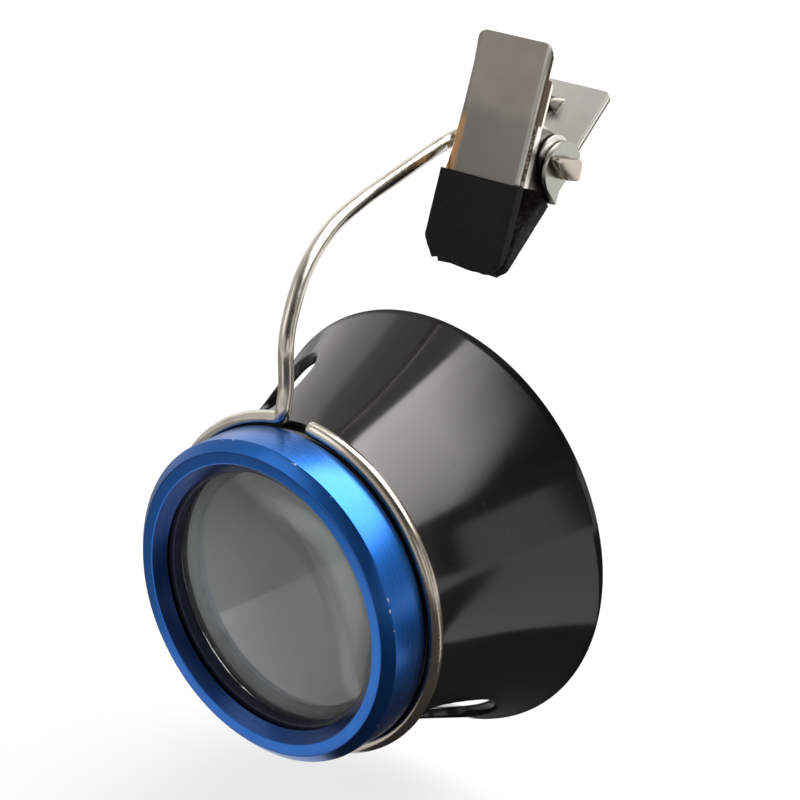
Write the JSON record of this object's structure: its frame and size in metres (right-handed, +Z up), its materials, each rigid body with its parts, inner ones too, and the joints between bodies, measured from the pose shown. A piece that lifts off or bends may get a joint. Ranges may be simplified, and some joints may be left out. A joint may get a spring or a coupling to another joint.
{
  "type": "clip-on loupe",
  "caption": "Magnifying eyepiece with a metal bezel and a flared eyecup, carried by a bent wire arm on a sprung spectacle clip with rubber jaws.",
  "frame": {"origin": "the line where the jaws of the clip meet, midway across their width", "axes": "+Z up, +Y along the optical axis from the lens towards the eye, +X to the wearer's left, the side of the hinge pin's flattened end"},
  "size_m": [0.046, 0.0507, 0.0726],
  "materials": {
    "eyecup_plastic": "glossy moulded black",
    "bezel_blue": "turned, blue anodised",
    "lens_glass": "polished",
    "retainer_black": "matt black",
    "bright_wire": "drawn and polished",
    "clip_steel": "satin nickel plate",
    "spring_steel": "drawn wire",
    "jaw_rubber": "cut edge, dusty"
  },
  "bodies": {
    "clip_front": {"front_clip_plate": "clip_steel", "front_jaw_sleeve": "jaw_rubber", "hinge_washer_left": "clip_steel", "hinge_washer_right": "clip_steel", "torsion_spring": "spring_steel"},
    "clip_rear": {"rear_clip_plate": "clip_steel", "rear_jaw_sleeve": "jaw_rubber"},
    "wire": {"wire_frame": "bright_wire"},
    "loupe": {"eyecup": "eyecup_plastic", "bezel_ring": "bezel_blue", "lens": "lens_glass", "lens_retaining_ring": "retainer_black"}
  },
  "joints": [
    {"name": "clip_squeeze", "type": "hinge", "parent": "clip_front", "child": "clip_rear", "pos_m": [0, 0.00915, 0.01118], "axis": [1, 0, 0], "range_deg": [0, 45], "stiffness_Nm_per_rad": 0.035, "springref_deg": -68.75, "deforming": ["torsion_spring"]},
    {"name": "loupe_tilt", "type": "hinge", "parent": "clip_front", "child": "wire", "pos_m": [0, 0.00915, 0.01118], "axis": [-1, 0, 0], "range_deg": [-20, 110]},
    {"name": "loupe_swivel", "type": "hinge", "parent": "wire", "child": "loupe", "pos_m": [-0.0002, -0.02485, -0.02642], "axis": [0, -1, 0], "continuous": true}
  ]
}
